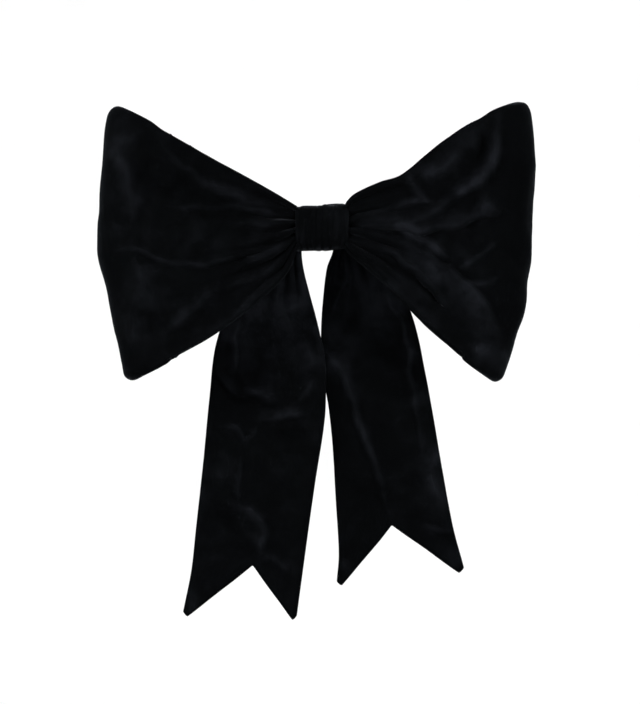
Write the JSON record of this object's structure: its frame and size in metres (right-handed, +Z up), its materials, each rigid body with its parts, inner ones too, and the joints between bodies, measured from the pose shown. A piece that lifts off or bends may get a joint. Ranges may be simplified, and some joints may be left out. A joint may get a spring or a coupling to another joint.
{
  "type": "hair bow",
  "caption": "Large black velvet hair bow with open rolled loops, a ruched centre knot and swallowtail tails, on a French barrette.",
  "frame": {"origin": "middle of the barrette's hair space, behind the middle of the knot", "axes": "+Z up with the tails hanging towards -Z, X across the bow along the barrette, the front of the bow faces -Y and the hair lies on the +Y side"},
  "size_m": [0.2168, 0.0502, 0.258],
  "materials": {
    "velvet": "dense cut-pile velvet, deep black with a cool sheen on the folds",
    "interfacing": "matte stiffened non-woven",
    "thread": "twisted sewing thread",
    "nickel_steel": "nickel-plated stamped steel, satin",
    "spring_steel": "nickel-plated spring steel, slightly brighter edges"
  },
  "bodies": {
    "bow": {"bow_outer_ply": "velvet", "bow_interfacing": "interfacing", "bow_inner_ply": "velvet", "lap_stitches": "thread", "waist_thread": "thread", "knot_band": "velvet", "knot_stitches": "thread", "barrette_base": "nickel_steel", "hinge_pin": "nickel_steel", "tension_bar": "spring_steel"},
    "left_tail": {"left_tail_front": "velvet", "left_tail_back": "velvet", "left_tail_stitches": "thread"},
    "right_tail": {"right_tail_front": "velvet", "right_tail_back": "velvet", "right_tail_stitches": "thread"},
    "clasp": {"clasp_arm": "nickel_steel"},
    "upper_prong": {"catch_prong_upper": "spring_steel"},
    "lower_prong": {"catch_prong_lower": "spring_steel"}
  },
  "joints": [
    {"name": "clasp_hinge", "type": "hinge", "parent": "bow", "child": "clasp", "pos_m": [0.0385, 0.00598, 0], "axis": [0, 0, -1], "range_deg": [0, 100]},
    {"name": "left_tail_sway", "type": "hinge", "parent": "bow", "child": "left_tail", "pos_m": [-0.0115, -0.0104, -0.002], "axis": [0, 1, 0], "range_deg": [-10, 10], "stiffness_Nm_per_rad": 0.06},
    {"name": "right_tail_sway", "type": "hinge", "parent": "bow", "child": "right_tail", "pos_m": [0.0083, -0.008, -0.0015], "axis": [0, 1, 0], "range_deg": [-10, 10], "stiffness_Nm_per_rad": 0.06},
    {"name": "upper_prong_press", "type": "hinge", "parent": "bow", "child": "upper_prong", "pos_m": [-0.0358, -0.00073, 0.00175], "axis": [-1, 0, 0], "range_deg": [0, 5], "stiffness_Nm_per_rad": 0.01},
    {"name": "lower_prong_press", "type": "hinge", "parent": "bow", "child": "lower_prong", "pos_m": [-0.0358, -0.00073, -0.00175], "axis": [1, 0, 0], "range_deg": [0, 5], "stiffness_Nm_per_rad": 0.01}
  ]
}
